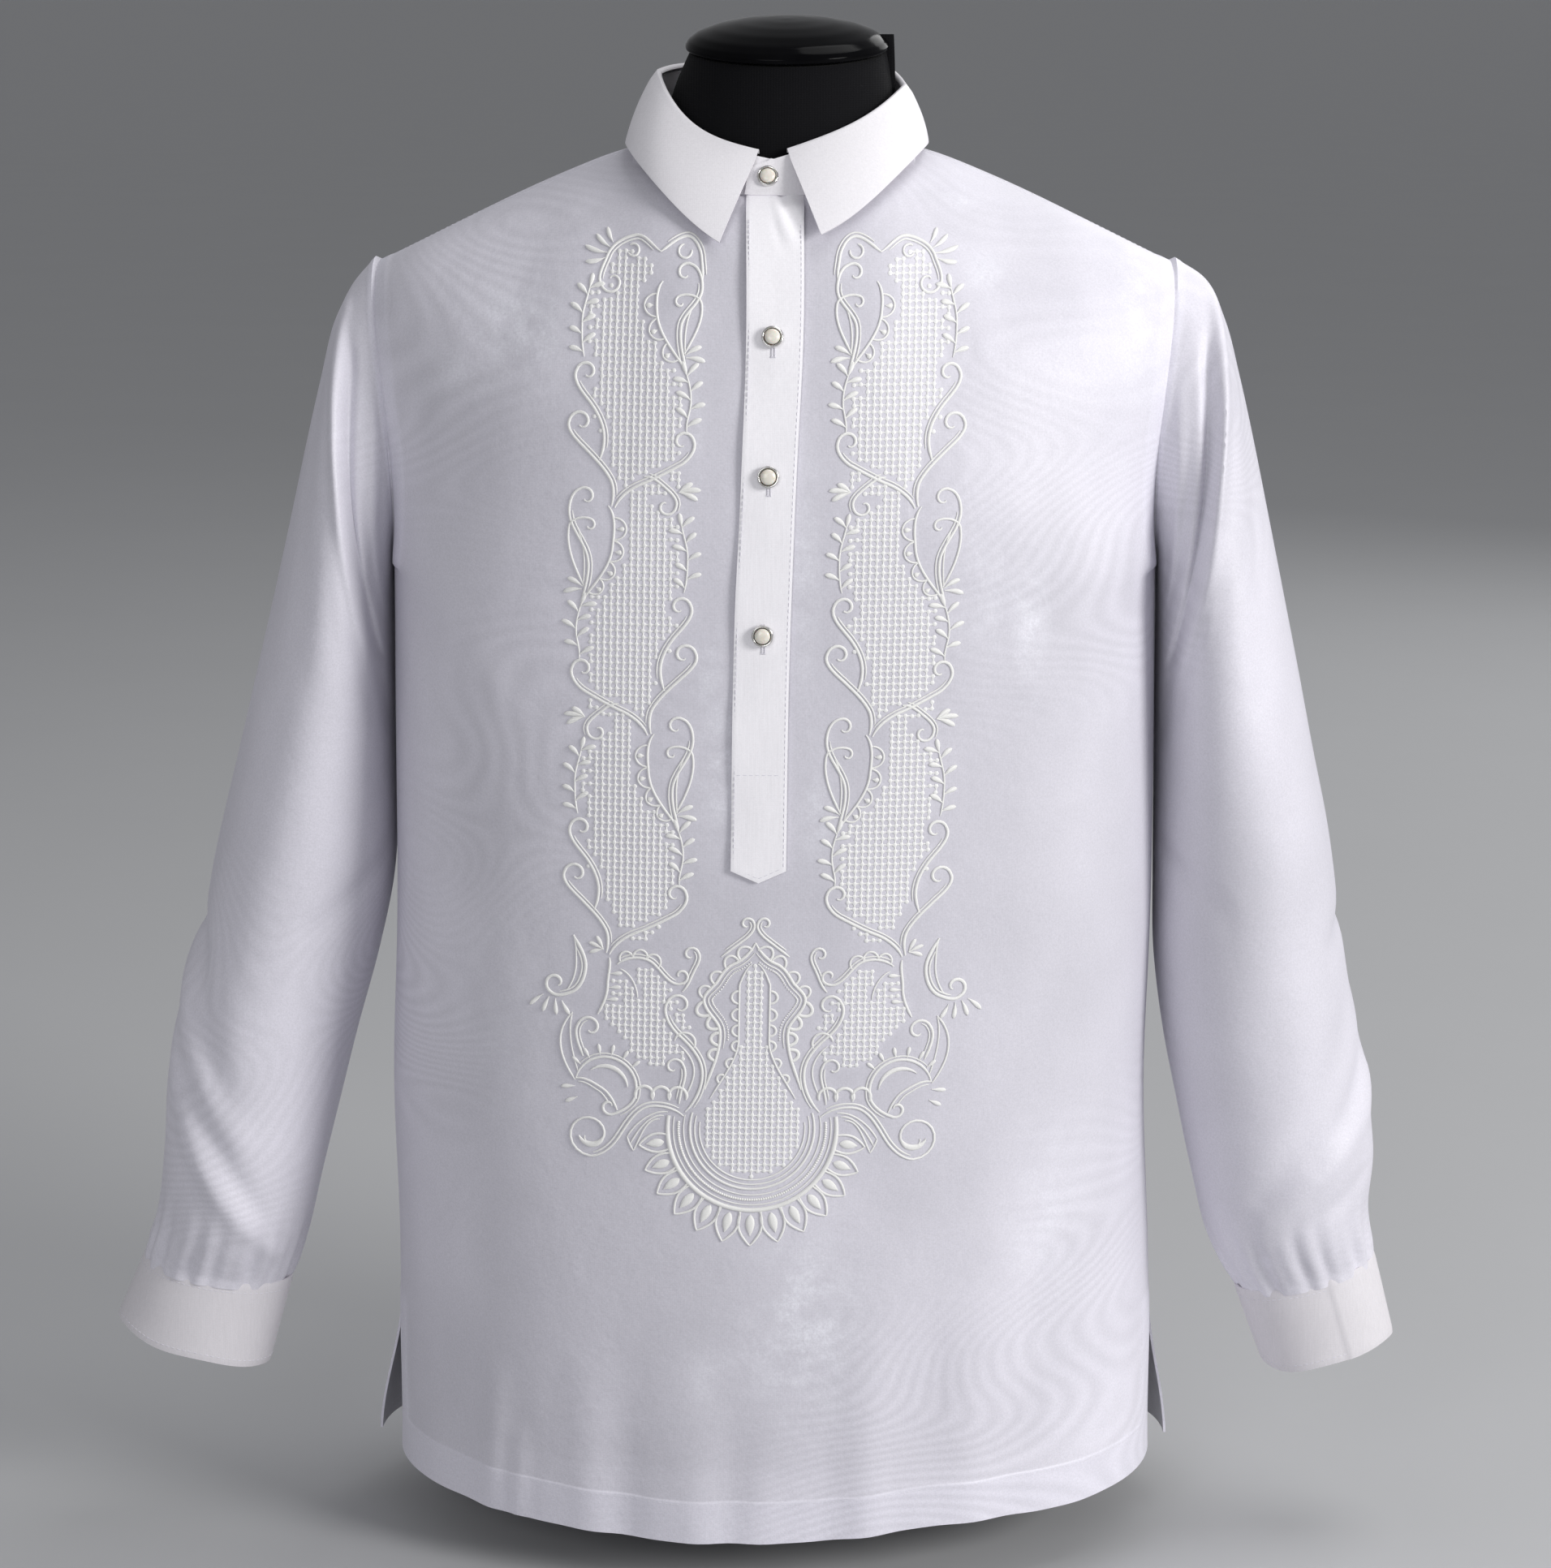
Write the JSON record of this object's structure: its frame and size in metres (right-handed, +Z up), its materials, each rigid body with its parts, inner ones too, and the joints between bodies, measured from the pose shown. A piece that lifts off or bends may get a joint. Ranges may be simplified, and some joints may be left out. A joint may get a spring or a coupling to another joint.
{
  "type": "barong tagalog shirt on a limbless dress form",
  "caption": "Long-sleeved sheer formal shirt with a fold-over collar, a half placket, an embroidered front and side vents, standing on a limbless dress form.",
  "frame": {"origin": "centre of the dress form's flat base, on the surface it stands on", "axes": "+Z up, -Y is the way the front faces, +X is the wearer's left"},
  "size_m": [0.7562, 0.2883, 0.8796],
  "materials": {
    "organza": "sheer stiff organza weave, satin sheen",
    "band_cloth": "opaque doubled cloth, matt",
    "embroidery_thread": "ivory rayon thread, satin",
    "button_metal": "polished",
    "pearl": "pearl lustre",
    "form_cloth": "black knit cover",
    "form_cap": "glossy black"
  },
  "bodies": {
    "root": {"front": "organza", "back": "organza", "sleeve_right": "organza", "sleeve_left": "organza", "cuff_right": "band_cloth", "cuff_left": "band_cloth", "collar_stand": "band_cloth", "collar_leaf": "band_cloth", "placket": "band_cloth", "button_1": "button_metal", "button_2": "button_metal", "button_3": "button_metal", "button_4": "button_metal", "pearl_1": "pearl", "pearl_2": "pearl", "pearl_3": "pearl", "pearl_4": "pearl", "form_torso": "form_cloth", "form_neck_cap": "form_cap"}
  },
  "joints": []
}
